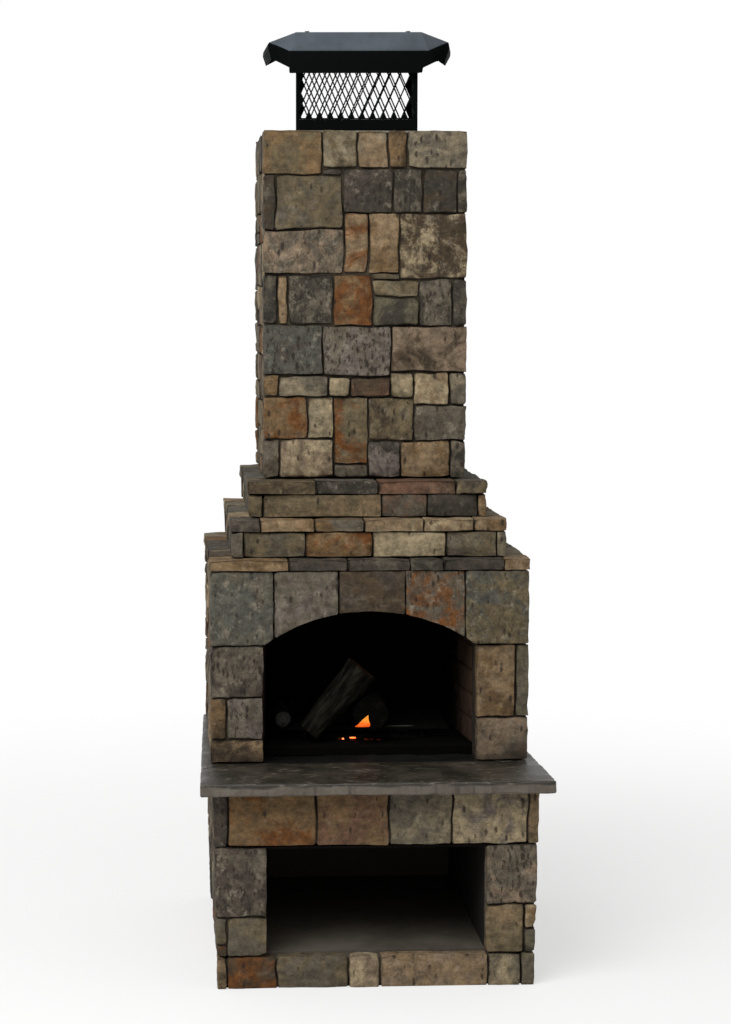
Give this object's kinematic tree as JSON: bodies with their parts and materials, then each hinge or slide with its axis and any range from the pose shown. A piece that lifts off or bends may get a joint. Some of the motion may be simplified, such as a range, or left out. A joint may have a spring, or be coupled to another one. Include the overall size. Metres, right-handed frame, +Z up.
{
  "type": "outdoor fireplace",
  "caption": "Free-standing stone patio fireplace with a wood box under the hearth, an arched firebox, stepped tiers, a square chimney and a metal spark-arrestor cap.",
  "frame": {"origin": "middle of the footprint of the whole object, on the ground", "axes": "+Z up, the front with both openings faces -Y, +X to the right when facing the front from outside"},
  "size_m": [0.876, 1.014, 2.3998],
  "materials": {
    "fieldstone": "split, squared rubble in greys, tans, rust and purple",
    "cap_slabs": "split flat slabs",
    "hearth_stone": "one flagstone with a dressed edge",
    "concrete": "cast and block masonry",
    "firebrick": "sooty firebrick",
    "flue_clay": "fired clay",
    "black_metal": "satin black paint on folded sheet",
    "steel": "dull steel",
    "grate_iron": "rough black iron",
    "log_wood": "charred and barked logs",
    "ash": "grey ash with embers"
  },
  "bodies": {
    "masonry": {"footing_slab": "concrete", "base_core": "concrete", "base_bottom_course": "fieldstone", "base_left_jamb": "fieldstone", "base_right_jamb": "fieldstone", "base_lintel_course": "fieldstone", "base_left_veneer": "fieldstone", "base_right_veneer": "fieldstone", "base_back_veneer": "fieldstone", "woodbox_lintel_bar": "steel", "support_slab": "concrete", "hearth_slab": "hearth_stone", "firebrick_floor": "firebrick", "firebrick_left": "firebrick", "firebrick_right": "firebrick", "firebrick_back": "firebrick", "firebox_core": "concrete", "smoke_dome": "concrete", "arch_left_end": "fieldstone", "arch_left_stone": "fieldstone", "arch_keystone": "fieldstone", "arch_right_stone": "fieldstone", "arch_right_end": "fieldstone", "left_jamb_stones": "fieldstone", "right_jamb_stones": "fieldstone", "firebox_left_veneer": "fieldstone", "firebox_right_veneer": "fieldstone", "firebox_back_veneer": "fieldstone", "shoulder_cap": "cap_slabs", "middle_tier_wall": "fieldstone", "middle_tier_cap": "cap_slabs", "upper_tier_wall": "fieldstone", "upper_tier_cap": "cap_slabs", "smoke_chamber": "concrete", "chimney_front_veneer": "fieldstone", "chimney_left_veneer": "fieldstone", "chimney_right_veneer": "fieldstone", "chimney_back_veneer": "fieldstone", "chimney_core": "concrete", "chimney_crown": "concrete", "flue_tile_lower": "flue_clay", "flue_tile_upper": "flue_clay", "ash_bed": "ash"},
    "chimney_cap": {"cap_base_band": "black_metal", "cap_screen_front": "black_metal", "cap_screen_right": "black_metal", "cap_screen_back": "black_metal", "cap_screen_left": "black_metal", "cap_frame": "black_metal", "cap_lid": "black_metal", "cap_bolt_front_left": "steel", "cap_bolt_front_right": "steel", "cap_bolt_back_left": "steel", "cap_bolt_back_right": "steel"},
    "loaded_grate": {"log_grate": "grate_iron", "log_right": "log_wood", "log_ashy": "log_wood", "log_leaning": "log_wood"}
  },
  "joints": [
    {"name": "cap_lift", "type": "slide", "parent": "masonry", "child": "chimney_cap", "axis": [0, 0, 1], "range_m": [0, 0.15]},
    {"name": "grate_slide", "type": "slide", "parent": "masonry", "child": "loaded_grate", "axis": [0, -1, 0], "range_m": [0, 0.3]}
  ]
}
